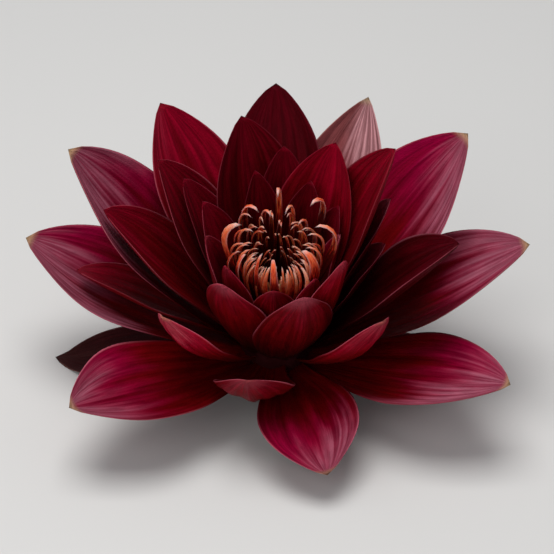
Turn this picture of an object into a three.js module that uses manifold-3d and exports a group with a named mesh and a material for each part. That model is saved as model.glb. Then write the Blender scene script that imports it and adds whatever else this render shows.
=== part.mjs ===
// A dark red water lily flower, picked just under the bloom, resting on its stalk's cut end and
// its lowest sepals. Millimetres and degrees, +Z up, -Y is the side that the bloom leans towards.
//
// Every sepal, petal and stamen is one kind of shape, a blade: a midrib that leaves the bloom's
// axis at an azimuth and bends from one elevation to another, with a cupped cross-section.
import * as THREE from 'three';
import { mergeVertices } from 'three/addons/utils/BufferGeometryUtils.js';
import Module from 'manifold-3d';

const wasm = await Module();
wasm.setup();

// ---- Driving dimensions -------------------------------------------------------------------

const LEAN = 8; // the bloom's axis leans this far towards -Y
const SEPAL_LEVEL = 6; // height of the bloom's own origin, at the sepals' roots, over the surface
const FLOOR_REACH = 200; // size of the block that trims what would lie below the surface
const ROUND_STEPS = 28; // facets round a turned piece
const MERGE_DISTANCE = 1e-4; // points closer than this are one point

// The ovary is the solid heart of the bloom, which the petals grow out of.
const OVARY_RADIUS = 9;
const OVARY_BOTTOM = 2.8;
const OVARY_TOP = 20;
const SEAT_GAP = 0.3; // between two pieces that sit on each other

// The stalk and the swollen end that carries the sepals.
const STALK_RADIUS = 4.6;
const COLLAR_RADIUS = 8.2;
const COLLAR_BOTTOM = -2.5;
const STALK_BOTTOM = -8;

// The ring that the stamens stand on, and the stigma in the middle of it.
const RING_RADIUS = 7.4;
const RING_HOLE = 4.4;
const RING_TOP = 22.5;
const STIGMA_RADIUS = 4.1;
const STIGMA_TOP = 24;
const STIGMA_RAYS = 14;
const RAY_HEIGHT = 0.22; // how far a ray stands above or a furrow sinks below the stigma's cup

// ---- The blades ---------------------------------------------------------------------------

// Each whorl's own form. rootRadius and rootHeight place the roots, cup is half the angle that the
// cross-section turns through, rootWidth is the root's share of the full width, widest is where
// along the length it is widest, taper shapes the tip (1 is straight-sided, less is blunter),
// hook is 1 for an even curve and more for one that bends mostly near the tip, thickness is at the
// midrib, and along and across are how many steps the surface has.
const WHORLS = {
  sepal: { rootRadius: 6, rootHeight: 0.4, cup: 30, rootWidth: 0.45, widest: 0.54, taper: 0.85,
    thickness: 1.3, along: 10, across: 4 },
  outer: { rootRadius: 6, rootHeight: 3.5, cup: 34, rootWidth: 0.36, widest: 0.6, taper: 0.75,
    thickness: 1.2, along: 10, across: 4 },
  second: { rootRadius: 6, rootHeight: 6, cup: 43, rootWidth: 0.36, widest: 0.6, taper: 0.75,
    thickness: 1.1, along: 9, across: 4 },
  third: { rootRadius: 7.2, rootHeight: 9, cup: 46, rootWidth: 0.6, widest: 0.48, taper: 0.7,
    thickness: 1.1, along: 8, across: 4 },
  inner: { rootRadius: 8, rootHeight: 12, cup: 38, rootWidth: 0.45, widest: 0.58, taper: 0.8,
    thickness: 1, along: 7, across: 4 },
};

const EDGE_THICKNESS = 0.65;
const TIP_SHARE = 0.985; // a blade ends here along its length, so that its tip keeps some width
const CREASE_DEPTH = 0.04; // how far the midrib sinks, as a share of the half width
const CREASE_WIDTH = 0.18;

// [azimuth, length, width, rise, curl, roll]: rise is the mean elevation, curl is how much steeper the
// tip is than the root, and roll turns the blade about its midrib, so that one side edge is higher.
const SEPALS = [
  [68, 65, 25, 34, 6, 0],
  [172, 50, 21, -10, -6, 0],
  [286, 30, 20, -3, -6, 0],
  [2, 46, 20, -9, -6, 0],
];
const PETALS = {
  outer: [
    [5, 62, 31, 30, 14, -7],
    [33, 66, 33, 43, 26, -6],
    [90, 62, 25, 38, 4, -6],
    [126, 62, 25, 47, 8, 2],
    [157, 67, 33, 45, 20, 9],
    [165, 61, 30, 21, 16, 0],
    [215, 54, 27, 17, 4, -6],
    [285, 40, 25, 8, -14, 4],
    [333, 57, 26, 18, 16, 2],
  ],
  second: [
    [23, 58, 25, 66, 6, -12],
    [57, 50, 22, 67, 4, 4],
    [106, 53, 25, 61, 4, 14],
    [147, 51, 23, 57, 8, 10],
    [168, 51, 23, 46, 4, 7],
    [171, 46, 19, 22, 2, 18],
    [216, 41, 18, 48, 54, 14],
    [258, 36, 21, 39, 84, 7],
    [319, 42, 18, 49, 54, -11],
    [351, 54, 25, 48, 8, -7],
  ],
  third: [
    [11, 32, 17, 54, 14, -12],
    [20, 42, 15, 60, 12, -12],
    [87, 42, 18, 62, 6, 15],
    [141, 41, 18, 59, 8, 11],
    [184, 36, 15, 75, 16, -18],
    [231, 36, 20, 69, 34, 8],
    [284, 42, 21, 65, 36, 1],
    [317, 42, 16, 71, 22, 2],
  ],
  inner: [
    [6, 30, 11, 77, 8, 0],
    [39, 31, 11, 70, 8, -3],
    [63, 35, 12, 75, 8, 5],
    [108, 38, 12, 78, 8, 12],
    [152, 35, 13, 71, 8, -7],
    [221, 32, 12, 76, 12, 0],
    [267, 29, 12, 75, 12, 8],
    [305, 30, 11, 76, 12, 11],
  ],
};

// The stamens stand in rings, the outer ones longer and broader, with their tips hooked inwards.
const STAMEN_FORM = { cup: 20, rootWidth: 0.9, widest: 0.45, taper: 0.55, thickness: 1, along: 8,
  across: 1 };
const STAMEN_RINGS = [
  { count: 8, rootRadius: 6.3, length: 28.5, width: 2.8, rise: 92, curl: 160, hook: 6 },
  { count: 14, rootRadius: 6.1, length: 18.5, width: 2.4, rise: 94, curl: 110, hook: 6 },
  { count: 14, rootRadius: 5.4, length: 13.5, width: 2, rise: 98, curl: 50, hook: 3 },
];
const STAMEN_ROOT_DEPTH = 1.2; // how deep the stamens' roots sink into their ring
const AZIMUTH_SCATTER = 7; // degrees
const LENGTH_SCATTER = 0.14; // share of the length
const RISE_SCATTER = 7; // degrees
const BACK_GAIN = 0.1; // how much longer the stamens at +Y are, and how much shorter those at -Y

const radians = THREE.MathUtils.degToRad;

// A repeatable scatter from -0.5 to 0.5 for a pair of whole numbers.
function scatter(row, column) {
  const wave = Math.sin(row * 12.9898 + column * 78.233) * 437.585;
  return wave - Math.floor(wave) - 0.5;
}

// The half width at a share of the length, as a share of the greatest half width.
function outline(share, form) {
  const bulge = Math.sin(Math.PI * share ** (Math.log(0.5) / Math.log(form.widest))) ** form.taper;
  const root = form.rootWidth * (1 - share) ** 2;
  return root + (1 - root) * bulge;
}

// One blade as a closed geometry, in the bloom's own frame.
function blade(form, [azimuth, length, width, rise, curl, roll]) {
  const { along, across } = form;
  const turn = radians(azimuth);
  const outwards = new THREE.Vector3(Math.cos(turn), Math.sin(turn), 0);
  const sideways = new THREE.Vector3(-Math.sin(turn), Math.cos(turn), 0);
  const upwards = new THREE.Vector3(0, 0, 1);
  const cup = radians(form.cup);
  const step = TIP_SHARE / along;
  const hook = form.hook ?? 1;
  const elevation = (share) => radians(rise + curl * (share ** hook - 1 / (hook + 1)));
  const upper = [];
  const lower = [];
  let radius = form.rootRadius;
  let height = form.rootHeight;
  for (let i = 0; i <= along; i++) {
    const share = (i / along) * TIP_SHARE;
    const angle = elevation(share);
    if (i > 0) {
      const halfway = elevation(share - step / 2);
      radius += length * step * Math.cos(halfway);
      height += length * step * Math.sin(halfway);
    }
    const midrib = outwards.clone().multiplyScalar(radius).addScaledVector(upwards, height);
    const forwards = outwards.clone().multiplyScalar(Math.cos(angle))
      .addScaledVector(upwards, Math.sin(angle));
    const crosswise = sideways.clone().applyAxisAngle(forwards, radians(roll));
    const inwards = forwards.clone().cross(crosswise);
    const half = (width / 2) * outline(share, form);
    const arc = half / cup;
    for (let j = 0; j <= across; j++) {
      const side = (2 * j) / across - 1;
      const crease = CREASE_DEPTH * half * Math.exp(-((side / CREASE_WIDTH) ** 2));
      const point = midrib.clone()
        .addScaledVector(crosswise, arc * Math.sin(cup * side))
        .addScaledVector(inwards, arc * (1 - Math.cos(cup * side)) - crease);
      const normal = inwards.clone().multiplyScalar(Math.cos(cup * side))
        .addScaledVector(crosswise, -Math.sin(cup * side));
      const thick = THREE.MathUtils.lerp(form.thickness, EDGE_THICKNESS, side * side);
      upper.push(point.clone().addScaledVector(normal, thick / 2));
      lower.push(point.addScaledVector(normal, -thick / 2));
    }
  }
  return closedSheet(upper, lower, along, across);
}

// A closed geometry from two grids of points, with the same triangles on both faces.
function closedSheet(upper, lower, along, across) {
  const columns = across + 1;
  const points = [...upper, ...lower];
  const index = [];
  const up = (i, j) => i * columns + j;
  const down = (i, j) => up(i, j) + upper.length;
  const wall = (a, b, c, d) => index.push(a, b, c, a, c, d);
  for (let i = 0; i < along; i++) {
    for (let j = 0; j < across; j++) {
      const corners = [[i, j], [i + 1, j], [i + 1, j + 1], [i, j + 1]];
      if (j >= across / 2) corners.push(corners.shift());
      wall(...corners.map(([a, b]) => up(a, b)));
      wall(...corners.map(([a, b]) => down(a, b)).reverse());
    }
    wall(up(i, 0), down(i, 0), down(i + 1, 0), up(i + 1, 0));
    wall(up(i + 1, across), down(i + 1, across), down(i, across), up(i, across));
  }
  for (let j = 0; j < across; j++) {
    wall(up(0, j + 1), down(0, j + 1), down(0, j), up(0, j));
    wall(up(along, j), down(along, j), down(along, j + 1), up(along, j + 1));
  }
  const geometry = new THREE.BufferGeometry().setFromPoints(points);
  geometry.setIndex(index);
  return geometry;
}

// ---- Round pieces -------------------------------------------------------------------------

// A solid of revolution about the bloom's axis, from [radius, height] pairs, bottom to top.
function turned(profile, segments) {
  const points = profile.map(([radius, height]) => new THREE.Vector2(radius, height));
  return new THREE.LatheGeometry(points, segments).rotateX(Math.PI / 2);
}

const ovary = () => turned([
  [0, OVARY_BOTTOM],
  [OVARY_RADIUS * 0.72, OVARY_BOTTOM],
  [OVARY_RADIUS, OVARY_BOTTOM + 5],
  [OVARY_RADIUS, OVARY_TOP - 3],
  [OVARY_RADIUS * 0.93, OVARY_TOP],
  [0, OVARY_TOP],
], ROUND_STEPS);

const stalk = () => turned([
  [0, STALK_BOTTOM],
  [STALK_RADIUS, STALK_BOTTOM],
  [STALK_RADIUS, COLLAR_BOTTOM - 1.5],
  [COLLAR_RADIUS * 0.85, COLLAR_BOTTOM + 0.8],
  [COLLAR_RADIUS, COLLAR_BOTTOM + 2.6],
  [COLLAR_RADIUS * 0.7, OVARY_BOTTOM - SEAT_GAP],
  [0, OVARY_BOTTOM - SEAT_GAP],
], ROUND_STEPS);

const stamenRing = () => turned([
  [RING_HOLE, OVARY_TOP + SEAT_GAP],
  [RING_RADIUS, OVARY_TOP + SEAT_GAP],
  [RING_RADIUS, RING_TOP - 0.8],
  [RING_RADIUS - 0.8, RING_TOP],
  [RING_HOLE, RING_TOP],
  [RING_HOLE, OVARY_TOP + SEAT_GAP],
], ROUND_STEPS);

// The stigma is a shallow cup with a knob in its middle and a ray for each carpel.
function stigma() {
  const geometry = turned([
    [0, OVARY_TOP + SEAT_GAP],
    [STIGMA_RADIUS * 0.9, OVARY_TOP + SEAT_GAP],
    [STIGMA_RADIUS, STIGMA_TOP - 1.4],
    [STIGMA_RADIUS, STIGMA_TOP - 0.4],
    [STIGMA_RADIUS * 0.85, STIGMA_TOP],
    [STIGMA_RADIUS * 0.55, STIGMA_TOP - 1.1],
    [STIGMA_RADIUS * 0.3, STIGMA_TOP - 1.5],
    [STIGMA_RADIUS * 0.22, STIGMA_TOP - 0.5],
    [0, STIGMA_TOP - 0.1],
  ], STIGMA_RAYS * 4);
  const position = geometry.getAttribute('position');
  for (let i = 0; i < position.count; i++) {
    const x = position.getX(i);
    const y = position.getY(i);
    const reach = Math.hypot(x, y) / STIGMA_RADIUS;
    const ray = Math.cos(STIGMA_RAYS * Math.atan2(y, x));
    const onTop = position.getZ(i) > OVARY_TOP + 1;
    if (onTop) position.setZ(i, position.getZ(i) + RAY_HEIGHT * reach * ray);
  }
  return geometry;
}

// ---- Solids and pieces --------------------------------------------------------------------

// A geometry in the bloom's frame as a solid, leaned over and set at its height.
function solid(geometry) {
  return closed(geometry.clone().rotateX(radians(LEAN)).translate(0, 0, SEPAL_LEVEL));
}

// A geometry as a solid that can be joined and cut. Triangles that merging leaves without area,
// such as those at the poles of a turned piece, are dropped.
function closed(geometry) {
  const bare = geometry.clone();
  bare.deleteAttribute('normal');
  bare.deleteAttribute('uv');
  const merged = mergeVertices(bare, MERGE_DISTANCE);
  const corners = merged.index.array;
  const triangles = [];
  for (let i = 0; i < corners.length; i += 3) {
    const [a, b, c] = corners.slice(i, i + 3);
    if (a !== b && b !== c && c !== a) triangles.push(a, b, c);
  }
  return new wasm.Manifold(new wasm.Mesh({
    numProp: 3,
    vertProperties: new Float32Array(merged.getAttribute('position').array),
    triVerts: new Uint32Array(triangles),
  }));
}

const joined = (solids) => solids.reduce((whole, part) => whole.add(part));

// What would lie below the surface is cut off flat.
function onTheSurface(whole) {
  const below = new THREE.BoxGeometry(FLOOR_REACH, FLOOR_REACH, FLOOR_REACH)
    .translate(0, 0, -FLOOR_REACH / 2);
  return whole.subtract(closed(below));
}

// A solid as a named piece with its own material.
function mesh(name, whole, colour, roughness) {
  const { vertProperties, triVerts } = whole.getMesh();
  const geometry = new THREE.BufferGeometry();
  geometry.setAttribute('position', new THREE.BufferAttribute(vertProperties, 3));
  geometry.setIndex(new THREE.BufferAttribute(triVerts, 1));
  geometry.computeVertexNormals();
  const piece = new THREE.Mesh(geometry, new THREE.MeshStandardMaterial({
    color: colour, roughness, metalness: 0,
  }));
  piece.name = name;
  return piece;
}

function sepalSolids() {
  return SEPALS.map((sepal) => solid(blade(WHORLS.sepal, sepal)));
}

function petalSolids() {
  return Object.entries(PETALS).flatMap(([whorl, petals]) =>
    petals.map((petal) => solid(blade(WHORLS[whorl], petal))));
}

function stamenSolids() {
  return STAMEN_RINGS.flatMap(({ count, rootRadius, length, width, rise, curl, hook }, ring) =>
    Array.from({ length: count }, (_, i) => {
      const rootHeight = RING_TOP - STAMEN_ROOT_DEPTH;
      const form = { ...STAMEN_FORM, rootRadius, rootHeight, hook };
      const azimuth = (360 * (i + ring / 2)) / count + AZIMUTH_SCATTER * scatter(ring, i);
      const gain = BACK_GAIN * Math.sin(radians(azimuth));
      const own = length * (1 + gain + LENGTH_SCATTER * scatter(ring + 3, i));
      const tilt = RISE_SCATTER * scatter(ring + 6, i);
      return solid(blade(form, [azimuth, own, width, rise + tilt, curl, 0]));
    }));
}

const bloom = new THREE.Group();
bloom.add(
  mesh('sepals_and_stalk', onTheSurface(joined([solid(stalk()), ...sepalSolids()])), 0x6b5a3c, 0.6),
  mesh('petals', joined([solid(ovary()), ...petalSolids()]), 0x7a0f2c, 0.5),
  mesh('stamens', joined([solid(stamenRing()), ...stamenSolids()]), 0xb8431f, 0.6),
  mesh('stigma', solid(stigma()), 0x6a1a12, 0.6),
);

// The middle of the whole outline stands at the origin.
const middle = new THREE.Box3().setFromObject(bloom).getCenter(new THREE.Vector3());
bloom.position.set(-middle.x, -middle.y, 0);

export default bloom;
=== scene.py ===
"""A dark red water lily flower in full detail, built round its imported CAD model.

Lengths in the tables are millimetres and angles are degrees, as in the CAD model. The bloom is
described in its own frame, with its axis along +Z and the sepals' roots near z = 0. Every point
then goes through placed(), which leans the axis towards -Y, sets the bloom on the floor and turns
millimetres into metres.
"""
import math

import bpy
import numpy as np
from mathutils import Matrix, Vector


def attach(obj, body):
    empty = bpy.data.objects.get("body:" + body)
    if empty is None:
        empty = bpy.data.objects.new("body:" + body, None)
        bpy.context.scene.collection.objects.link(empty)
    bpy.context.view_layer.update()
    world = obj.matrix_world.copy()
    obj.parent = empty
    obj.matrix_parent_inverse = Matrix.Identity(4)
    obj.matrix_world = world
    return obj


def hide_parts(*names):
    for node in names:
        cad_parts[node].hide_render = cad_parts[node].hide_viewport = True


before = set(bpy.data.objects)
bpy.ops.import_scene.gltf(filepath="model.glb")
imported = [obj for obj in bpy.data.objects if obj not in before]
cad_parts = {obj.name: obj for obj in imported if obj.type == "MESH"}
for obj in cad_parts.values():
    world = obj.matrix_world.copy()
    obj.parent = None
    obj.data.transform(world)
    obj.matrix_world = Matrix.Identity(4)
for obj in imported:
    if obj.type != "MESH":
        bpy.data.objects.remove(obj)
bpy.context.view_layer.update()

MM = 0.001
LEAN = 8
SEPAL_LEVEL = 6  # height of the bloom's own origin over the floor

# ---- Where the bloom stands ------------------------------------------------------------------

leaned = np.array(Matrix.Rotation(math.radians(LEAN), 3, "X"))


def bloom_origin():
    """The bloom's own origin, in metres. The stigma stands on the axis, so its middle gives it."""
    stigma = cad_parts["stigma"].data.vertices
    upright = np.array([vertex.co for vertex in stigma]) @ leaned
    x, y, _ = (upright.min(0) + upright.max(0)) / 2
    on_axis = leaned @ (x, y, 0)
    axis = leaned @ (0, 0, 1)
    return on_axis + axis * (SEPAL_LEVEL * MM - on_axis[2]) / axis[2]


origin = bloom_origin()


def placed(points):
    """Points of the bloom's own frame, in millimetres, as points of the scene, in metres."""
    return np.asarray(points) @ leaned.T * MM + origin


# ---- Shader nodes ----------------------------------------------------------------------------


class Skin:
    """A Principled material, and short ways to make and join the nodes that drive it."""

    def __init__(self, name, **constants):
        self.material = bpy.data.materials.new(name)
        self.material.use_nodes = True
        self.tree = self.material.node_tree
        self.shader = self.tree.nodes["Principled BSDF"]
        for socket, value in constants.items():
            self.feed(self.shader.inputs[socket.replace("_", " ")], value)

    def feed(self, socket, value):
        """Joins another node's output to the socket, or gives the socket a constant value."""
        if isinstance(value, bpy.types.NodeSocket):
            self.tree.links.new(value, socket)
        elif isinstance(value, tuple) and len(value) == 3 and socket.type == "RGBA":
            socket.default_value = (*value, 1)
        else:
            socket.default_value = value

    def node(self, kind, inputs, output=0, **settings):
        made = self.tree.nodes.new(kind)
        for name, value in settings.items():
            setattr(made, name, value)
        for key, value in inputs.items():
            self.feed(made.inputs[key], value)
        return made.outputs[output]

    def attribute(self, name):
        return self.node("ShaderNodeAttribute", {}, "Fac", attribute_name=name)

    def maths(self, operation, *values):
        return self.node("ShaderNodeMath", dict(enumerate(values)), operation=operation)

    def vector(self, x, y, z):
        return self.node("ShaderNodeCombineXYZ", {0: x, 1: y, 2: z})

    def rise(self, value, low, high, start=0.0, end=1.0):
        """From start to end, smoothly, as the value goes from low to high."""
        inputs = {"Value": value, "From Min": low, "From Max": high, "To Min": start, "To Max": end}
        return self.node("ShaderNodeMapRange", inputs, interpolation_type="SMOOTHSTEP")

    def nudged(self, value, noise, amount):
        """The value, moved up or down by a share of a noise whose middle is 0.5."""
        return self.maths("MULTIPLY_ADD", self.maths("SUBTRACT", noise, 0.5), amount, value)

    def product(self, *values):
        """The values multiplied with one another."""
        made = values[0]
        for value in values[1:]:
            made = self.maths("MULTIPLY", made, value)
        return made

    def noise(self, vector, detail, scale=1.0):
        inputs = {"Vector": vector, "Scale": scale, "Detail": detail}
        return self.node("ShaderNodeTexNoise", inputs, "Fac")

    def mix(self, amount, first, second, blend="MIX"):
        inputs = {0: amount, 6: first, 7: second}
        return self.node("ShaderNodeMix", inputs, 2, data_type="RGBA", blend_type=blend)

    def ramp(self, value, stops):
        made = self.tree.nodes.new("ShaderNodeValToRGB")
        self.feed(made.inputs[0], value)
        elements = made.color_ramp.elements
        while len(elements) < len(stops):
            elements.new(0.5)
        for element, (place, colour) in zip(elements, stops):
            element.position = place
            element.color = (*colour, 1)
        return made.outputs[0]

    def finish(self, colour, roughness, height, bump_mm):
        """Joins the colour, the roughness and a bump of the given height to the shader."""
        bump = {"Height": height, "Distance": bump_mm * MM}
        self.feed(self.shader.inputs["Base Color"], colour)
        self.feed(self.shader.inputs["Roughness"], roughness)
        self.feed(self.shader.inputs["Normal"], self.node("ShaderNodeBump", bump))
        return self.material


# [waves over the half width, waves over the length, detail] of each noise on a petal
BROAD_STREAKS = (3.2, 1.6, 1.0)
FINE_STREAKS = (12.0, 2.2, 3.0)
CELLS = (60.0, 90.0, 1.0)
BLOTCHES = (7.0, 11.0, 2.0)
SEED_STEP = 61.0  # how far apart in the noise two petals with seeds one apart lie
MOST_NOISE = (0.3, 0.7)  # most of a noise's values lie between these
BROAD_SHIFT = 0.55  # how far the broad streaks move the colours along a petal
FINE_SHIFT = 0.3
# Where each colour of a petal's skin starts and where it is whole, as shares of the length. The
# streaks move the first two, so the second can lie past the tip. The dusky colour is partly the
# skin's pale bloom and partly painted sheen, and the pale margin and the pale patch near the tip
# are painted highlights.
DEEP_BAND = (0.45, 0.9)
DUSKY_BAND = (0.88, 1.22)
EDGE_HIGHLIGHT_BAND = (0.3, 0.75)
TIP_HIGHLIGHT_BAND = (0.86, 1.0)
TIP_BAND = (0.955, 1.0)
EDGE_HIGHLIGHT_SIDE = (0.95, 1.0)  # where the painted highlight along the margin starts and is whole, as shares of the half width
# How dusky a petal is, partly its pale bloom and partly painted sheen, or how bright the painted
# highlight on its margin is, where a colour starts to show and shows fully
DUSKY_PETAL = (0.0, 0.7)
TIPPED_PETAL = (0.1, 0.8)
TIP_HIGHLIGHT_PETAL = (0.4, 0.2)
TIP_HIGHLIGHT_MARGIN = (0.6, 1.0)
DEEPEST = 0.7  # the most that the deep colour covers, on the duskiest petals
BRIGHTEST_TIP_HIGHLIGHT = 0.45  # the most that the painted highlight near the tip covers, on the most highlighted margins
DUSK_GAIN = 0.4  # how much further down a dusky petal's veil (pale bloom and painted sheen) reaches
PAINTED_SHEEN_SIDE_GAIN = 0.3  # how much further down the veil reaches on the duskier side, the side of the painted reflection
# [low, high, factor at low, factor at high]: how the fine streaks thin or darken a colour
VEIL_STREAKS = (0.32, 0.62, 0.4, 1.0)
EDGE_HIGHLIGHT_STREAKS = (0.35, 0.6, 0.3, 1.0)
DARK_STREAKS = (0.3, 0.68, 0.74, 1.12)
BLOTCH_SHADE = (0.84, 1.12)
PETAL_ROUGHNESS = (0.36, 0.5)
PETAL_BUMP = 0.35  # millimetres
CELL_SHARE = 0.35  # of the fine cells in the bump, beside the fine streaks


def petal_skin(name, stops, deep, dusky, painted_highlight_colour, tip):
    """One face of the petals. Its colour runs along the stops from root to tip, moved by lengthwise
    streaks and mottled. It turns deep in the outer half of dusky petals, with a dusky layer over
    it, partly the pale bloom of the skin and partly painted sheen, that leans to the petal's
    duskier side as a painted reflection. A painted highlight lies along the margins and, on petals
    that aren't dusky, near the tip, and the tip's colour lies on the points of dusky ones. Each
    petal's painted light and shade darkens or brightens it all over."""
    skin = Skin(name, Specular_IOR_Level=0.08, Specular_Tint=(1.0, 0.3, 0.35), Sheen_Weight=0.01,
                Sheen_Roughness=0.4, Sheen_Tint=(0.9, 0.3, 0.35))
    along = skin.attribute("along")
    across = skin.attribute("across")
    seed = skin.attribute("seed")
    dusk_and_sheen = skin.attribute("dusk_and_sheen")
    edge_highlight = skin.attribute("edge_highlight")

    def streaks(lines, length, detail):
        """A noise with so many waves over the half width and over the length of a petal."""
        x = skin.maths("MULTIPLY", across, lines)
        y = skin.maths("MULTIPLY", along, length)
        z = skin.maths("MULTIPLY", seed, SEED_STEP)
        return skin.noise(skin.vector(x, y, z), detail)

    broad = streaks(*BROAD_STREAKS)
    fine = streaks(*FINE_STREAKS)

    shifted = skin.nudged(skin.nudged(along, broad, BROAD_SHIFT), fine, FINE_SHIFT)
    colour = skin.ramp(shifted, stops)

    deepened = skin.product(skin.rise(shifted, *DEEP_BAND),
                            skin.rise(dusk_and_sheen, *DUSKY_PETAL, 0.0, DEEPEST))
    colour = skin.mix(deepened, colour, deep)
    # The dusky veil is partly the skin's pale bloom and partly painted sheen. It reaches further
    # down on the side where the painted reflection falls.
    lean = skin.maths("MULTIPLY", across, skin.attribute("side"))
    reach = skin.maths("MULTIPLY_ADD", lean, PAINTED_SHEEN_SIDE_GAIN, shifted)
    reach = skin.maths("MULTIPLY_ADD", dusk_and_sheen, DUSK_GAIN, reach)
    bloom_and_painted_sheen = skin.product(skin.rise(reach, *DUSKY_BAND), skin.rise(fine, *VEIL_STREAKS),
                        skin.rise(dusk_and_sheen, *DUSKY_PETAL))
    colour = skin.mix(bloom_and_painted_sheen, colour, dusky)

    # Each petal's own brightness is painted light and shade, multiplied in with the streaks and the
    # mottle.
    shade = skin.product(skin.rise(fine, *DARK_STREAKS), skin.attribute("painted_light"),
                         skin.rise(streaks(*BLOTCHES), *MOST_NOISE, *BLOTCH_SHADE))
    colour = skin.mix(1.0, colour, skin.vector(shade, shade, shade), "MULTIPLY")

    # A painted highlight along the side edges.
    edge = skin.product(skin.rise(skin.maths("ABSOLUTE", across), *EDGE_HIGHLIGHT_SIDE),
                        skin.rise(fine, *EDGE_HIGHLIGHT_STREAKS), edge_highlight,
                        skin.rise(along, *EDGE_HIGHLIGHT_BAND))
    colour = skin.mix(edge, colour, painted_highlight_colour)
    # A painted highlight near the tip, on petals that aren't dusky.
    painted_tip_highlight = skin.product(skin.rise(along, *TIP_HIGHLIGHT_BAND),
                         skin.rise(edge_highlight, *TIP_HIGHLIGHT_MARGIN, 0.0, BRIGHTEST_TIP_HIGHLIGHT),
                         skin.rise(dusk_and_sheen, *TIP_HIGHLIGHT_PETAL))
    colour = skin.mix(painted_tip_highlight, colour, painted_highlight_colour)
    point = skin.product(skin.rise(along, *TIP_BAND), skin.rise(dusk_and_sheen, *TIPPED_PETAL))
    colour = skin.mix(point, colour, tip)

    roughness = skin.rise(fine, *MOST_NOISE, *PETAL_ROUGHNESS)
    height = skin.maths("MULTIPLY_ADD", streaks(*CELLS), CELL_SHARE, fine)
    return skin.finish(colour, roughness, height, PETAL_BUMP)


# ---- Blades ----------------------------------------------------------------------------------

# Each whorl's own form, with the names of the CAD model. Here thickness is a real petal's, pinch is
# how much tighter the tip is cupped, wave is how far the margins wander, and flute is how deep the
# lengthwise furrows are. along and across are how many steps the surface has.
WHORLS = {
    "sepal": dict(root_radius=6, root_height=0.4, cup=30, root_width=0.45, widest=0.54, taper=0.85,
                  thickness=1.0, pinch=0.25, wave=0.5, flute=0.16, along=32, across=30),
    "outer": dict(root_radius=6, root_height=3.5, cup=34, root_width=0.36, widest=0.6, taper=0.75,
                  thickness=0.85, pinch=0.15, wave=0.45, flute=0.2, along=32, across=30),
    "second": dict(root_radius=6, root_height=6, cup=43, root_width=0.36, widest=0.6, taper=0.75,
                   thickness=0.8, pinch=0, wave=0.4, flute=0.18, along=32, across=30),
    "third": dict(root_radius=7.2, root_height=9, cup=46, root_width=0.6, widest=0.48, taper=0.7,
                  thickness=0.75, pinch=-0.4, wave=0.3, flute=0.14, along=28, across=26),
    "inner": dict(root_radius=8, root_height=12, cup=38, root_width=0.45, widest=0.58, taper=0.8,
                  thickness=0.7, pinch=0.1, wave=0.25, flute=0.1, along=24, across=20),
}
SOFT_TIP = 0.5  # thickness of a soft tip where it lies flat on the floor
CREASE_DEPTH = 0.05  # how far the midrib sinks, as a share of the half width
CREASE_WIDTH = 0.12  # as a share of the half width
KEEL_GAIN = 0.5  # how much thicker a blade is along its midrib, as a share
KEEL_WIDTH = 0.1  # as a share of the half width
FLUTES = 5  # lengthwise furrows across a blade
FLUTE_TURN = 9  # how far a seed of 1 moves a blade's furrows sideways, in radians of their wave
MARGIN_WAVES = 1.7  # waves along a margin
MARGIN_TURN = 3  # how far a seed of 1 moves the waves of a blade's margins, in waves
WAVES_GROW = (0.2, 0.6)  # where along a blade the waves of its margins grow
PINCH_START = 0.7  # where along a blade its tip's tighter cup starts
TIP_THINNING = 0.5  # how much thinner a blade is at its tip, as a share
BOW = 1.4  # how far a seed of 1 bends a tip sideways

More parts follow.
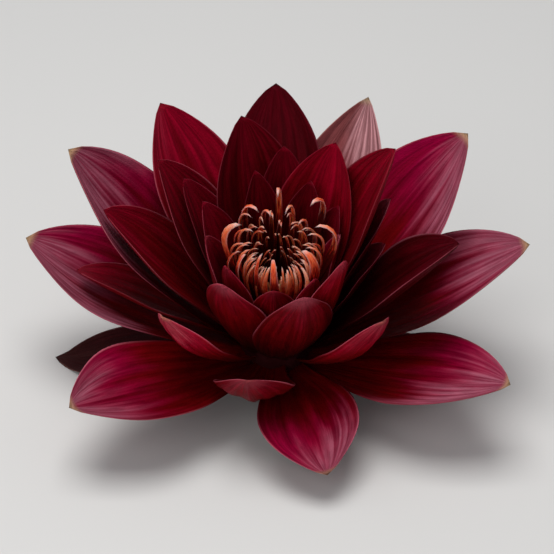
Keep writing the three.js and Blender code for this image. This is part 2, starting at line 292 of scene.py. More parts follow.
# [azimuth, length, width, rise, curl, roll, dusk_and_sheen, edge_highlight, side, painted_light]:
# the first six are the CAD model's. dusk_and_sheen is how dusky the outer half is, partly its pale
# bloom and partly painted sheen, edge_highlight is how bright the painted highlight on the side
# edges is, side is above 0 where the anticlockwise half is the duskier one and below 0 where the
# clockwise half is, which paints the reflection on that half, and painted_light is how bright the
# petal is all over, painted light and shade.
SEPALS = [
    [68, 65, 25, 34, 6, 0, 0.6, 0.5, -2.0, 1.0],
    [172, 50, 21, -10, -6, 0, 0.1, 0.3, 0, 0.25],
    [286, 30, 20, -3, -6, 0, 0.3, 0.3, 0, 0.6],
    [2, 46, 20, -9, -6, 0, 0.3, 0.3, 0, 0.6],
]
PETALS = {
    "outer": [
        [5, 62, 31, 30, 14, -7, 0.75, 0.5, 0.3, 0.85],
        [33, 66, 33, 43, 26, -6, 0.65, 0.9, -0.8, 0.95],
        [90, 62, 25, 38, 4, -6, 0, 0.15, 0, 0.22],
        [126, 62, 25, 47, 8, 2, 0.15, 0.5, 0.6, 0.85],
        [157, 67, 33, 45, 20, 9, 0.8, 0.6, 0.6, 0.75],
        [165, 61, 30, 21, 16, 0, 0.75, 0.6, 0.9, 0.78],
        [215, 54, 27, 17, 4, -6, 0.6, 0.8, 0.3, 0.75],
        [285, 40, 25, 8, -14, 4, 0.5, 0.8, 0.5, 0.8],
        [333, 57, 26, 18, 16, 2, 0.7, 0.9, -0.5, 0.9],
    ],
    "second": [
        [23, 58, 25, 66, 6, -12, 0.05, 0.3, 0, 0.75],
        [57, 50, 22, 67, 4, 4, 0, 0.15, 0, 0.85],
        [106, 53, 25, 61, 4, 14, 0, 0.2, 0, 0.38],
        [147, 51, 23, 57, 8, 10, 0.05, 0.4, 0, 0.5],
        [168, 51, 23, 46, 4, 7, 0.1, 0.5, 0, 0.6],
        [171, 46, 19, 22, 2, 18, 0.1, 0.7, 0, 0.75],
        [216, 41, 18, 48, 54, 14, 0.4, 0.8, 0, 1.5],
        [258, 36, 21, 39, 84, 7, 0.2, 0.8, 0, 0.65],
        [319, 42, 18, 49, 54, -11, 0.3, 0.8, 0, 1.1],
        [351, 54, 25, 48, 8, -7, 0.1, 0.5, 0, 0.22],
    ],
    "third": [
        [11, 32, 17, 54, 14, -12, 0.1, 0.7, 0, 0.5],
        [20, 42, 15, 60, 12, -12, 0.1, 0.8, 0, 0.5],
        [87, 42, 18, 62, 6, 15, 0, 0.1, 0, 0.4],
        [141, 41, 18, 59, 8, 11, 0.05, 0.3, 0, 0.45],
        [184, 36, 15, 75, 16, -18, 0.15, 0.7, 0, 0.6],
        [231, 36, 20, 69, 34, 8, 0.12, 0.9, 0, 0.72],
        [284, 42, 21, 65, 36, 1, 0.15, 1.0, 0, 0.62],
        [317, 42, 16, 71, 22, 2, 0.1, 0.8, 0, 1.0],
    ],
    "inner": [
        [6, 30, 11, 77, 8, 0, 0.2, 0.9, 0, 0.7],
        [39, 31, 11, 70, 8, -3, 0, 0.3, 0, 0.5],
        [63, 35, 12, 75, 8, 5, 0, 0.2, 0, 0.4],
        [108, 38, 12, 78, 8, 12, 0, 0.2, 0, 0.4],
        [152, 35, 13, 71, 8, -7, 0.1, 0.6, 0, 0.6],
        [221, 32, 12, 76, 12, 0, 0.1, 0.7, 0, 0.8],
        [267, 29, 12, 75, 12, 8, 0.1, 0.7, 0, 0.8],
        [305, 30, 11, 76, 12, 11, 0.1, 0.7, 0, 0.8],
    ],
}


def scatter(row, column):
    """A repeatable scatter from -0.5 to 0.5 for a pair of whole numbers, as in the CAD model."""
    wave = math.sin(row * 12.9898 + column * 78.233) * 437.585
    return wave - math.floor(wave) - 0.5


def smooth(value, low, high):
    """From 0 to 1, smoothly, as the value goes from low to high."""
    share = np.clip((value - low) / (high - low), 0, 1)
    return share * share * (3 - 2 * share)


def outline(share, form):
    """The half width at a share of the length, as a share of the greatest half width."""
    bulge = np.sin(math.pi * share ** (math.log(0.5) / math.log(form["widest"])))
    bulge = np.clip(bulge, 0, 1) ** form["taper"]
    root = form["root_width"] * (1 - share) ** 2
    return root + (1 - root) * bulge


def blade(form, shape, seed, relief=None):
    """The upper and lower face of one blade, each a grid of points, and its share and side grids.

    share goes from 0 at the root to 1 at the tip, and side from -1 to 1 between the side edges,
    where the two faces meet. relief(share, side) lifts the upper face by millimetres."""
    azimuth, length, width, rise, curl, roll = shape[:6]
    steps = np.linspace(0, 1, form["along"] + 1)
    spread = np.linspace(-1, 1, form["across"] + 1)
    side = (spread + np.sin(spread * math.pi / 2)) / 2
    hook = form.get("hook", 1)

    def elevation(share):
        return np.radians(rise + curl * (share**hook - 1 / (hook + 1)))

    halfway = elevation((steps[1:] + steps[:-1]) / 2)
    travel = length / form["along"]
    radius = form["root_radius"] + np.append(0, np.cumsum(travel * np.cos(halfway)))
    height = form["root_height"] + np.append(0, np.cumsum(travel * np.sin(halfway)))

    turn = math.radians(azimuth)
    outwards = np.array([math.cos(turn), math.sin(turn), 0])
    sideways = np.array([-math.sin(turn), math.cos(turn), 0])
    upwards = np.array([0, 0, 1])
    angle = elevation(steps)[:, None]
    forwards = outwards * np.cos(angle) + upwards * np.sin(angle)
    lifted = np.cross(forwards, sideways)
    tilt = math.radians(roll)
    crosswise = sideways * math.cos(tilt) + lifted * math.sin(tilt)
    inwards = lifted * math.cos(tilt) - sideways * math.sin(tilt)
    midrib = outwards * radius[:, None] + upwards * height[:, None]
    midrib = midrib + crosswise * (BOW * form.get("bow", 1) * seed * steps**2)[:, None]

    share, across = np.meshgrid(steps, side, indexing="ij")
    half = width / 2 * outline(share, form)
    cup = math.radians(form["cup"]) * (1 + form["pinch"] * smooth(share, PINCH_START, 1))
    arc = half / cup
    crease = CREASE_DEPTH * half * np.exp(-((across / CREASE_WIDTH) ** 2))
    flutes = np.cos(math.pi * FLUTES * across + FLUTE_TURN * seed) * (1 - across**4)
    flutes = flutes * np.sin(math.pi * share)
    wave_turns = MARGIN_WAVES * share + MARGIN_TURN * seed
    waves = across**2 * np.sin(2 * math.pi * wave_turns + across) * smooth(share, *WAVES_GROW)
    out_of_plane = arc * (1 - np.cos(cup * across)) - crease
    out_of_plane = out_of_plane + form["flute"] * flutes + form["wave"] * waves * (1 - share**6)
    point = (midrib[:, None] + crosswise[:, None] * (arc * np.sin(cup * across))[..., None]
             + inwards[:, None] * out_of_plane[..., None])
    normal = (inwards[:, None] * np.cos(cup * across)[..., None]
              - crosswise[:, None] * np.sin(cup * across)[..., None])
    keel = 1 + KEEL_GAIN * np.exp(-((across / KEEL_WIDTH) ** 2))
    thinned = form["thickness"] * (1 - TIP_THINNING * share)
    thick = thinned * np.sqrt(np.clip(1 - across**6, 0, 1)) * keel
    raised = 0 if relief is None else relief(share, across)
    return {
        "upper": point + normal * (thick / 2 + raised)[..., None],
        "lower": point - normal * (thick / 2)[..., None],
        "along": share,
        "across": across,
    }


def sheet_faces(along, across):
    """The faces of a closed sheet made of an upper and a lower grid of points, as lists of point
    numbers, and how many of the faces are the upper side's. The grids share their side edges and
    meet in one point at the tip."""
    upper = np.arange((along + 1) * (across + 1)).reshape(along + 1, across + 1)
    lower = upper + upper.size
    lower[:, 0] = upper[:, 0]
    lower[:, -1] = upper[:, -1]
    upper[-1] = upper[-1, 0]
    lower[-1] = upper[-1, 0]
    above = []
    below = []
    for i in range(along):
        for j in range(across):
            corners = [(i, j), (i + 1, j), (i + 1, j + 1), (i, j + 1)]
            above.append([*dict.fromkeys(int(upper[c]) for c in corners)])
            below.append([*dict.fromkeys(int(lower[c]) for c in reversed(corners))])
    root = [int(n) for n in upper[0]] + [int(n) for n in lower[0, -2:0:-1]]
    return above + below + [root], len(above)


def mesh_object(name, points, faces, materials, face_materials, attributes):
    """A smooth mesh object in the scene, with named values at its points."""
    used = np.unique(np.concatenate([np.array(face) for face in faces]))
    number = np.full(len(points), -1)
    number[used] = np.arange(len(used))
    mesh = bpy.data.meshes.new(name)
    mesh.from_pydata(points[used].tolist(), [], [number[face].tolist() for face in faces])
    for material in materials:
        mesh.materials.append(material)
    mesh.polygons.foreach_set("material_index", face_materials)
    mesh.polygons.foreach_set("use_smooth", [True] * len(faces))
    for key, values in attributes.items():
        layer = mesh.attributes.new(key, "FLOAT", "POINT")
        layer.data.foreach_set("value", np.asarray(values, float)[used])
    mesh.update()
    made = bpy.data.objects.new(name, mesh)
    bpy.context.scene.collection.objects.link(made)
    return made


def shown(piece, slot, *nodes):
    """The piece rides on the bloom's body and stands for the CAD nodes."""
    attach(piece, "root")
    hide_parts(*nodes)
    return piece


def blades_object(name, form, blades, extras, materials):
    """One object from many blades of one form. extras gives each blade's own named values."""
    faces, above = sheet_faces(form["along"], form["across"])
    size = 2 * (form["along"] + 1) * (form["across"] + 1)
    points = np.concatenate([b[face].reshape(-1, 3) for b in blades for face in ("upper", "lower")])
    attributes = {key: np.concatenate([np.tile(b[key].ravel(), 2) for b in blades])
                  for key in ("along", "across")}
    for key in extras[0]:
        attributes[key] = np.repeat([extra[key] for extra in extras], size)
    every = [[n + size * i for n in face] for i in range(len(blades)) for face in faces]
    sides = ([0] * above + [1] * (len(faces) - above)) * len(blades)
    return mesh_object(name, placed(points), every, materials, sides, attributes)


def whorl(name, form_name, rows, materials):
    """One object from the rows of a whorl, which have the columns named above."""
    form = WHORLS[form_name]
    seeds = [scatter(len(rows), i) for i in range(len(rows))]
    blades = [blade(form, row, seed) for row, seed in zip(rows, seeds)]
    # Each blade's dusky veil (pale bloom and painted sheen), painted edge highlight, side of the
    # painted reflection and painted light and shade.
    extras = [{"seed": seed, "dusk_and_sheen": row[6], "edge_highlight": row[7], "side": row[8], "painted_light": row[9]}
              for row, seed in zip(rows, seeds)]
    return blades_object(name, form, blades, extras, materials)


# The dusky colours are partly pale bloom and partly painted sheen. The highlight colours paint the
# pale margins and the pale patch near the tip.
petal_inside = petal_skin(
    "petal_inside",
    [(0.0, (0.11, 0.0015, 0.0015)), (0.3, (0.14, 0.0006, 0.0014)), (0.62, (0.17, 0.0006, 0.004)),
     (1.0, (0.36, 0.001, 0.018))],
    deep=(0.36, 0.001, 0.06),
    dusky=(0.38, 0.1, 0.15),
    painted_highlight_colour=(0.55, 0.13, 0.18),
    tip=(0.6, 0.38, 0.2))
petal_outside = petal_skin(
    "petal_outside",
    [(0.0, (0.06, 0.014, 0.005)), (0.35, (0.15, 0.0015, 0.003)), (0.7, (0.24, 0.0008, 0.003)),
     (1.0, (0.36, 0.003, 0.018))],
    deep=(0.34, 0.003, 0.04),
    dusky=(0.36, 0.085, 0.1),
    painted_highlight_colour=(0.6, 0.12, 0.17),
    tip=(0.6, 0.38, 0.2))
sepal_inside = petal_skin(
    "sepal_inside",
    [(0.0, (0.03, 0.006, 0.005)), (0.4, (0.12, 0.016, 0.02)), (0.7, (0.17, 0.03, 0.035)),
     (1.0, (0.2, 0.06, 0.055))],
    deep=(0.2, 0.045, 0.05),
    dusky=(0.55, 0.26, 0.28),
    painted_highlight_colour=(0.6, 0.3, 0.26),
    tip=(0.45, 0.33, 0.17))
sepal_outside = petal_skin(
    "sepal_outside",
    [(0.0, (0.03, 0.035, 0.01)), (0.4, (0.08, 0.05, 0.016)), (0.75, (0.13, 0.055, 0.02)),
     (1.0, (0.16, 0.05, 0.03))],
    deep=(0.15, 0.05, 0.03),
    dusky=(0.19, 0.09, 0.05),
    painted_highlight_colour=(0.36, 0.11, 0.09),
    tip=(0.24, 0.15, 0.05))

for form_name, rows in PETALS.items():
    petals = whorl(f"petals_{form_name}", form_name, rows, [petal_inside, petal_outside])
    shown(petals, "petal", "petals")

# A sepal's tip lies flat where it would go below the floor.
sepals = whorl("sepals", "sepal", SEPALS, [sepal_inside, sepal_outside])
upper_side = np.zeros(len(sepals.data.vertices), bool)
for polygon in sepals.data.polygons:
    if polygon.material_index == 0:
        upper_side[list(polygon.vertices)] = True
for vertex, above in zip(sepals.data.vertices, upper_side):
    vertex.co.z = max(vertex.co.z, SOFT_TIP * MM if above else 0)
shown(sepals, "sepal", "sepals_and_stalk")

# ---- Turned pieces ---------------------------------------------------------------------------

OVARY_RADIUS = 9
OVARY_BOTTOM = 2.8
OVARY_TOP = 20
SEAT_GAP = 0.3  # between two pieces that sit on each other
STALK_RADIUS = 4.6
COLLAR_RADIUS = 8.2
COLLAR_BOTTOM = -2.5
RING_RADIUS = 7.4
RING_HOLE = 4.4
RING_TOP = 22.5
STIGMA_RADIUS = 4.1
STIGMA_TOP = 24
STIGMA_RAYS = 14
RAY_HEIGHT = 0.22
POINTS_ON_RAY = 8  # across a ray, on each ring of the stigma
PLAIN_DETAIL = 4.0  # of a plain skin's mottle
PLAIN_MOTTLE = 0.5  # how far the mottle moves the tint
PLAIN_BUMP = 0.15


def rounded(profile, steps):
    """A smooth curve through the points of a profile, with so many steps between two of them."""
    points = np.array([profile[0], *profile, profile[-1]], float)
    share = np.linspace(0, 1, steps, endpoint=False)[:, None]
    curve = []
    for before, start, end, after in zip(points, points[1:], points[2:], points[3:]):
        leave = (end - before) / 2
        arrive = (after - start) / 2
        from_start = (2 * share**3 - 3 * share**2 + 1) * start
        to_end = (3 * share**2 - 2 * share**3) * end
        leaving = (share**3 - 2 * share**2 + share) * leave
        arriving = (share**3 - share**2) * arrive
        curve.append(from_start + leaving + to_end + arriving)
    return np.concatenate([*curve, points[-1:]])


def rings(profile, segments):
    """A grid of points round the axis from [radius, height] pairs, one row to a pair."""
    angle = np.linspace(0, 2 * math.pi, segments, endpoint=False)
    radius, height = np.array(profile, float).T
    return np.stack([np.outer(radius, np.cos(angle)), np.outer(radius, np.sin(angle)),
                     np.repeat(height[:, None], segments, 1)], -1)


def turned_object(name, grid, material, tint, hollow=False):
    """A closed object from a grid of rings. Its ends are closed by a point in their middle, or, if
    it is hollow, the last ring joins the first. tint is one value, or a value for each point."""
    rows, segments = grid.shape[:2]
    number = np.arange(rows * segments).reshape(rows, segments)
    pairs = [(i, (i + 1) % rows) for i in range(rows if hollow else rows - 1)]
    faces = [[int(number[a, j - 1]), int(number[a, j]), int(number[b, j]), int(number[b, j - 1])]
             for a, b in pairs for j in range(segments)]
    points = grid.reshape(-1, 3)
    tints = np.ravel(np.broadcast_to(tint, (rows, segments)))
    if not hollow:
        middles = [grid[0].mean(0), grid[-1].mean(0)]
        first, last = rows * segments, rows * segments + 1
        faces += [[first, int(number[0, j]), int(number[0, j - 1])] for j in range(segments)]
        faces += [[last, int(number[-1, j - 1]), int(number[-1, j])] for j in range(segments)]
        points = np.concatenate([points, middles])
        tints = np.append(tints, [tints[0], tints[-1]])
    sides = [0] * len(faces)
    return mesh_object(name, placed(points), faces, [material], sides, {"tint": tints})


def plain_skin(name, stops, scale, roughness=(0.45, 0.65)):
    """A mottled skin, coloured along its stops by the tint of the points."""
    skin = Skin(name, Specular_IOR_Level=0.4)
    place = skin.node("ShaderNodeTexCoord", {}, "Object")
    mottle = skin.noise(place, PLAIN_DETAIL, scale)
    colour = skin.ramp(skin.nudged(skin.attribute("tint"), mottle, PLAIN_MOTTLE), stops)
    return skin.finish(colour, skin.rise(mottle, *MOST_NOISE, *roughness), mottle, PLAIN_BUMP)


# The ovary, the solid heart of the bloom that the petals grow out of.
ovary_profile = rounded([
    [OVARY_RADIUS * 0.3, OVARY_BOTTOM], [OVARY_RADIUS * 0.72, OVARY_BOTTOM],
    [OVARY_RADIUS, OVARY_BOTTOM + 5], [OVARY_RADIUS, OVARY_TOP - 3],
    [OVARY_RADIUS * 0.93, OVARY_TOP], [OVARY_RADIUS * 0.3, OVARY_TOP]], steps=4)
ovary_skin = plain_skin("ovary_skin", [
    (0.0, (0.02, 0.004, 0.004)), (1.0, (0.09, 0.006, 0.01))], scale=900)
ovary_points = rings(ovary_profile, segments=48)
ovary = turned_object("ovary", ovary_points, ovary_skin, tint=0.5)
shown(ovary, "petal", "petals")

# The stalk's stub and the swollen end that carries the sepals. Its foot is cut level with the
# floor, and the cut shows the air canals that run through a water lily's stalk.
STALK_SEGMENTS = 96
STEM_RINGS = 5  # from the collar down to the cut
CUT_RINGS = 21  # from the cut's edge to its middle
CUT_MIDDLE = 0.04  # how wide the innermost of them is, as a share of the cut
# [height as a share of the radius, number round the stalk] of its ribs
RIBS = [[0.012, 9], [0.008, 23]]
# [distance from the middle, azimuth of the first canal, radius of a canal] of each ring of them
CANAL_RINGS = [[1.9, 36, 0.85], [3.4, 0, 0.4]]
CANALS_IN_RING = 5
CANAL_WALL = (0.75, 1.1)  # where a canal's wall is, as shares of its radius
CANAL_DEPTH = 2.5
CANAL_SHADE = 0.75  # painted shade: how much darker the tint is at the bottom of a canal


def stalk_grid():
    """The stub's rings from the collar's top down to the cut and on to the middle of the cut, and
    how far each point is along the way from green-brown outside (0) to pale pith (1), lowered by
    painted shade at the bottoms of the canals."""
    outside = rounded([
        [COLLAR_RADIUS * 0.3, OVARY_BOTTOM - SEAT_GAP],
        [COLLAR_RADIUS * 0.7, OVARY_BOTTOM - SEAT_GAP],
        [COLLAR_RADIUS, COLLAR_BOTTOM + 2.6], [COLLAR_RADIUS * 0.85, COLLAR_BOTTOM + 0.8],
        [STALK_RADIUS, COLLAR_BOTTOM - 1.5]], steps=5)
    body = rings(outside, STALK_SEGMENTS)
    angle = np.linspace(0, 2 * math.pi, STALK_SEGMENTS, endpoint=False)
    ribs = 1 + sum(height * np.cos(number * angle) for height, number in RIBS)
    body[..., :2] *= ribs[:, None]
    lean = math.radians(LEAN)

    def on_floor(points):
        """The height in the bloom's own frame at which each point lies on the floor."""
        return (-SEPAL_LEVEL - points[..., 1] * math.sin(lean)) / math.cos(lean)

    foot = body[-1].copy()
    foot[:, 2] = on_floor(foot)
    drop = np.linspace(0, 1, STEM_RINGS + 1)[1:, None, None]
    stem = body[-1] * (1 - drop) + foot * drop
    inwards = np.linspace(1, CUT_MIDDLE, CUT_RINGS + 1)[1:, None, None]
    cut = foot * inwards
    depth = np.zeros(cut.shape[:2])
    for distance, first, radius in CANAL_RINGS:
        for i in range(CANALS_IN_RING):
            turn = math.radians(first + 360 / CANALS_IN_RING * i)
            middle = (distance * math.cos(turn), distance * math.sin(turn))
            off = np.hypot(cut[..., 0] - middle[0], cut[..., 1] - middle[1])
            depth = np.maximum(depth, 1 - smooth(off / radius, *CANAL_WALL))
    cut[..., 2] = on_floor(cut) + CANAL_DEPTH * depth
    outer_skin = np.zeros((len(body) + len(stem), STALK_SEGMENTS))
    pith = np.concatenate([outer_skin, 1 - CANAL_SHADE * depth])
    return np.concatenate([body, stem, cut]), pith


stalk_points, pith = stalk_grid()
stalk_skin = plain_skin("stalk_skin", [
    (0.0, (0.08, 0.035, 0.014)), (0.3, (0.13, 0.06, 0.025)), (0.5, (0.16, 0.1, 0.05)),
    (1.0, (0.5, 0.45, 0.3))], scale=700)
stalk = turned_object("stalk", stalk_points, stalk_skin, pith)
shown(stalk, "sepal", "sepals_and_stalk")

# ---- Stamens ---------------------------------------------------------------------------------

STAMEN_FORM = dict(cup=32, root_width=0.9, widest=0.45, taper=0.55, thickness=0.45, pinch=0.4,
                   wave=0, flute=0, along=18, across=6, bow=1.8)
STAMEN_ROOT_DEPTH = 1.2  # how far a stamen's root goes into the ring
AZIMUTH_SCATTER = 7
LENGTH_SCATTER = 0.14
RISE_SCATTER = 7
CURL_SCATTER = 0.3  # share of the curl
ROLL_SCATTER = 60
WIDTH_SCATTER = 0.7  # share of the width
BACK_GAIN = 0.1  # how much longer the stamens at +Y are, and how much shorter those at -Y
# What is added to a ring's seed for each of its scatters, so that no two of them are alike
LENGTH_SEED = 3
RISE_SEED = 6
BOW_SEED = 9
CURL_SEED = 12
ROLL_SEED = 15
WIDTH_SEED = 18
# [count, start as a share of the step, seed, root radius, length, width, rise, curl, hook] of each
# ring. The rings with seeds 0, 1 and 2 are the CAD model's. The others fill in between them.
STAMEN_RINGS = [
    [8, 0, 0, 6.3, 28.5, 2.8, 92, 160, 6],
    [17, 0.4, 10, 6.3, 23, 1.2, 93, 150, 6],
    [26, 0.1, 13, 6.2, 20, 1.1, 92, 130, 6],
    [14, 0.5, 1, 6.1, 18.5, 1.4, 94, 110, 6],
    [28, 0.2, 11, 5.9, 16, 0.95, 95, 90, 5],
    [14, 0, 2, 5.4, 13.5, 1.2, 98, 50, 3],
    [24, 0.5, 12, 5.1, 11.5, 0.8, 98, 45, 3],
]
SAC_PLACE = 0.5  # of each pollen sac's ridge, as a share of the half width
SAC_WIDTH = 0.2
SAC_HEIGHT = 0.3
SAC_START = (0.36, 0.46)  # where along a stamen its sacs swell
SAC_END = (0.86, 0.95)


def pollen(share, side):
    """The two pollen sacs, ridges along the upper part of a stamen's inner face."""
    ridge = np.exp(-(((np.abs(side) - SAC_PLACE) / SAC_WIDTH) ** 2))
    return SAC_HEIGHT * ridge * smooth(share, *SAC_START) * (1 - smooth(share, *SAC_END))


def stamen_blades():
    """The blades of all the stamens, and each one's seed and how far inside its ring is."""
    blades, extras = [], []
    for ring, ring_row in enumerate(STAMEN_RINGS):
        count, start, seed, root_radius, length, width, rise, curl, hook = ring_row
        form = {**STAMEN_FORM, "root_radius": root_radius, "hook": hook,
                "root_height": RING_TOP - STAMEN_ROOT_DEPTH}
        for i in range(count):
            azimuth = 360 * (i + start) / count + AZIMUTH_SCATTER * scatter(seed, i)
            gain = BACK_GAIN * math.sin(math.radians(azimuth))
            own_length = length * (1 + gain + LENGTH_SCATTER * scatter(seed + LENGTH_SEED, i))
            own_width = width * (1 + WIDTH_SCATTER * scatter(seed + WIDTH_SEED, i))
            own_rise = rise + RISE_SCATTER * scatter(seed + RISE_SEED, i)
            own_curl = curl * (1 + CURL_SCATTER * scatter(seed + CURL_SEED, i))
            roll = ROLL_SCATTER * scatter(seed + ROLL_SEED, i)
            own_seed = scatter(seed + BOW_SEED, i)
            shape = [azimuth, own_length, own_width, own_rise, own_curl, roll]
            blades.append(blade(form, shape, own_seed, pollen))
            extras.append({"seed": own_seed, "inner": ring / (len(STAMEN_RINGS) - 1)})
    return blades, extras


PALE_MARGIN = (0.95, 0.4, 0.36)
PALE_TIP = (0.95, 0.52, 0.48)
POLLEN = (0.75, 0.24, 0.05)
STAMEN_GRAIN = (5.0, 14.0, 3.0)  # waves over the half width and over the length, and detail
STAMEN_SEED_STEP = 71.0
GRAIN_SHIFT = 0.7  # how far the grain moves the colours along a stamen
SEED_SHIFT = 0.35  # how far a seed of 1 moves them
PAINTED_SHADE_SHIFT = (0.1, 0.34)  # painted shade: how far up the pollen side the colours are moved, outermost and innermost
STAMEN_ROUGHNESS = (0.45, 0.7)
STAMEN_BUMP = 0.2


def stamen_skin(name, pollen_side):
    """Nearly black at the root, orange-red above, with a pale tip, and in the outer rings pale
    margins too. The inner face carries the pollen, and its dark root colour reaches further up, the
    more so in the inner rings, as painted shade down in the cup."""
    skin = Skin(name, Specular_IOR_Level=0.08, Specular_Tint=(1.0, 0.5, 0.4),
                Subsurface_Weight=0.3, Subsurface_Scale=0.003)
    along = skin.attribute("along")
    across = skin.maths("ABSOLUTE", skin.attribute("across"))
    seed = skin.attribute("seed")
    inner = skin.attribute("inner")
    lines, length, detail = STAMEN_GRAIN
    place = skin.vector(skin.maths("MULTIPLY", across, lines),
                        skin.maths("MULTIPLY", along, length),
                        skin.maths("MULTIPLY", seed, STAMEN_SEED_STEP))
    grain = skin.noise(place, detail)
    shifted = skin.nudged(along, grain, GRAIN_SHIFT)
    shifted = skin.maths("MULTIPLY_ADD", seed, SEED_SHIFT, shifted)
    # Painted shade: the pollen side's dark root colour reaches further up, more so in the inner
    # rings.
    if pollen_side:
        shifted = skin.maths("SUBTRACT", shifted, skin.rise(inner, 0.0, 1.0, *PAINTED_SHADE_SHIFT))
    colour = skin.ramp(shifted, [
        (0.0, (0.015, 0.0006, 0.0006)), (0.48, (0.05, 0.002, 0.002)), (0.64, (0.42, 0.02, 0.01)),
        (0.78, (0.95, 0.13, 0.045)), (0.96, (0.98, 0.22, 0.1)), (1.0, (0.98, 0.34, 0.22))])
    edge = skin.product(skin.rise(across, 0.55, 0.9), skin.rise(along, 0.6, 0.85),
                        skin.rise(inner, 0.0, 0.5, 0.75, 0.1))
    colour = skin.mix(edge, colour, PALE_MARGIN)
    point = skin.product(skin.rise(along, 0.88, 0.98), skin.rise(inner, 0.1, 0.5, 0.9, 0.35))
    colour = skin.mix(point, colour, PALE_TIP)
    if pollen_side:
        sacs = skin.product(skin.rise(across, 0.3, 0.5), skin.rise(across, 0.75, 0.6),
                            skin.rise(shifted, 0.5, 0.7), skin.rise(along, 0.97, 0.88),
                            skin.rise(grain, 0.35, 0.6, 0.2, 0.8))
        colour = skin.mix(sacs, colour, POLLEN)
    roughness = skin.rise(grain, *MOST_NOISE, *STAMEN_ROUGHNESS)
    return skin.finish(colour, roughness, grain, STAMEN_BUMP)


stamens = blades_object("stamens_fine", STAMEN_FORM, *stamen_blades(), [
    stamen_skin("stamen_inner_face", True), stamen_skin("stamen_outer_face", False)])
shown(stamens, "stamen", "stamens")

ring_profile = [
    [RING_HOLE, OVARY_TOP + SEAT_GAP], [RING_RADIUS, OVARY_TOP + SEAT_GAP],
    [RING_RADIUS, RING_TOP - 0.8], [RING_RADIUS - 0.3, RING_TOP - 0.25],
    [RING_RADIUS - 0.8, RING_TOP], [RING_HOLE + 0.3, RING_TOP], [RING_HOLE, RING_TOP - 0.3]]
ring_skin = plain_skin("stamen_ring_skin", [
    (0.0, (0.03, 0.003, 0.002)), (1.0, (0.16, 0.01, 0.006))], scale=1200)
ring_points = rings(ring_profile, segments=64)
stamen_ring = turned_object("stamen_ring", ring_points, ring_skin, tint=0.5, hollow=True)
shown(stamen_ring, "stamen", "stamens")

# ---- Stigma ----------------------------------------------------------------------------------


def stigma_grid():
    """A shallow cup with a knob in its middle and a ray for each carpel, and how high each point of
    its top is on its ray."""
    profile = rounded([
        [STIGMA_RADIUS * 0.3, OVARY_TOP + SEAT_GAP], [STIGMA_RADIUS * 0.9, OVARY_TOP + SEAT_GAP],
        [STIGMA_RADIUS, STIGMA_TOP - 1.4], [STIGMA_RADIUS, STIGMA_TOP - 0.4],
        [STIGMA_RADIUS * 0.85, STIGMA_TOP], [STIGMA_RADIUS * 0.55, STIGMA_TOP - 1.1],
        [STIGMA_RADIUS * 0.3, STIGMA_TOP - 1.5], [STIGMA_RADIUS * 0.22, STIGMA_TOP - 0.5],
        [STIGMA_RADIUS * 0.06, STIGMA_TOP - 0.1]], steps=5)
    grid = rings(profile, STIGMA_RAYS * POINTS_ON_RAY)
    angle = np.arctan2(grid[..., 1], grid[..., 0])
    reach = np.hypot(grid[..., 0], grid[..., 1]) / STIGMA_RADIUS
    on_top = smooth(grid[..., 2], OVARY_TOP + 1, OVARY_TOP + 2)
    ray = np.cos(STIGMA_RAYS * angle) * on_top * smooth(reach, 0.2, 0.5)
    grid[..., 2] += RAY_HEIGHT * reach * ray
    return grid, 0.5 + 0.5 * ray


stigma_points, rays = stigma_grid()
stigma_skin = plain_skin("stigma_skin", [
    (0.0, (0.05, 0.004, 0.003)), (0.5, (0.16, 0.012, 0.006)), (1.0, (0.42, 0.12, 0.03))],
    scale=1500, roughness=(0.3, 0.5))
stigma = turned_object("stigma_fine", stigma_points, stigma_skin, rays)
shown(stigma, "stigma", "stigma")

# ---- The stage -------------------------------------------------------------------------------

VIEW_ELEVATION = 37
VIEW_DISTANCE = 600
VIEW_ANGLE = 12.8
AIM_ABOVE_ORIGIN = 20.4  # how far above the bloom's origin the middle of the picture is
FLOOR_REACH = 1.5  # metres, from the middle to an edge
FLOOR_COLOUR = (0.68, 0.67, 0.65, 1)
FLOOR_ROUGHNESS = 0.7
SKY_COLOUR = (0.93, 0.95, 1, 1)
SKY_STRENGTH = 0.32
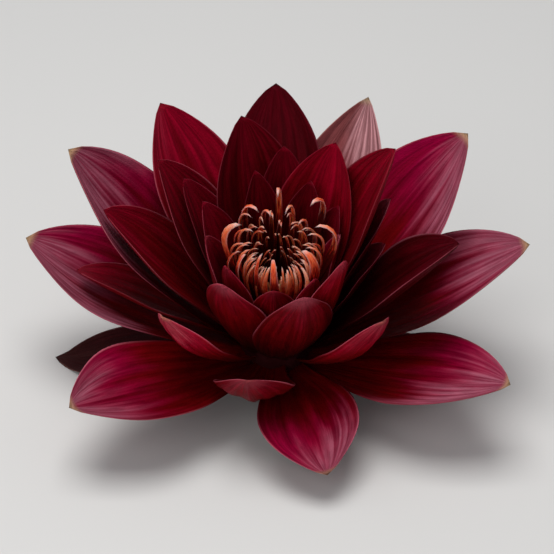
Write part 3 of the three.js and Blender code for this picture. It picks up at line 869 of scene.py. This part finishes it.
# [name, watts, size in metres, place relative to the bloom in metres] of each lamp
LAMPS = [
    ["key", 3.3, 0.4, (-0.06, 0.0, 0.68)],
    ["fill", 1.0, 0.5, (-0.3, -0.5, 0.45)],
]


def studio():
    """A pale floor, soft lights and the camera."""
    floor_skin = bpy.data.materials.new("pale_floor")
    floor_skin.use_nodes = True
    floor_shader = floor_skin.node_tree.nodes["Principled BSDF"]
    floor_shader.inputs["Base Color"].default_value = FLOOR_COLOUR
    floor_shader.inputs["Roughness"].default_value = FLOOR_ROUGHNESS
    mesh = bpy.data.meshes.new("floor")
    around = [(-1, -1), (1, -1), (1, 1), (-1, 1)]
    corners = [(FLOOR_REACH * x, FLOOR_REACH * y, 0) for x, y in around]
    mesh.from_pydata(corners, [], [(0, 1, 2, 3)])
    mesh.materials.append(floor_skin)
    floor = bpy.data.objects.new("floor", mesh)
    bpy.context.scene.collection.objects.link(floor)

    world = bpy.data.worlds.new("studio")
    world.use_nodes = True
    background = world.node_tree.nodes["Background"]
    background.inputs["Color"].default_value = SKY_COLOUR
    background.inputs["Strength"].default_value = SKY_STRENGTH
    bpy.context.scene.world = world

    for name, power, size, place in LAMPS:
        lamp = bpy.data.lights.new(name, "AREA")
        lamp.energy = power
        lamp.size = size
        light = bpy.data.objects.new(name, lamp)
        light.location = Vector(place)
        light.rotation_euler = (-Vector(place)).to_track_quat("-Z", "Y").to_euler()
        bpy.context.scene.collection.objects.link(light)

    up = math.radians(VIEW_ELEVATION)
    back = Vector((0, -math.cos(up), math.sin(up)))
    aim = Vector(origin) + Vector((0, math.sin(up), math.cos(up))) * AIM_ABOVE_ORIGIN * MM
    camera_data = bpy.data.cameras.new("camera")
    camera_data.angle = math.radians(VIEW_ANGLE)
    camera = bpy.data.objects.new("camera", camera_data)
    camera.location = aim + back * VIEW_DISTANCE * MM
    camera.rotation_euler = (-back).to_track_quat("-Z", "Y").to_euler()
    bpy.context.scene.collection.objects.link(camera)
    bpy.context.scene.camera = camera
    bpy.context.scene.view_settings.view_transform = "Standard"


studio()
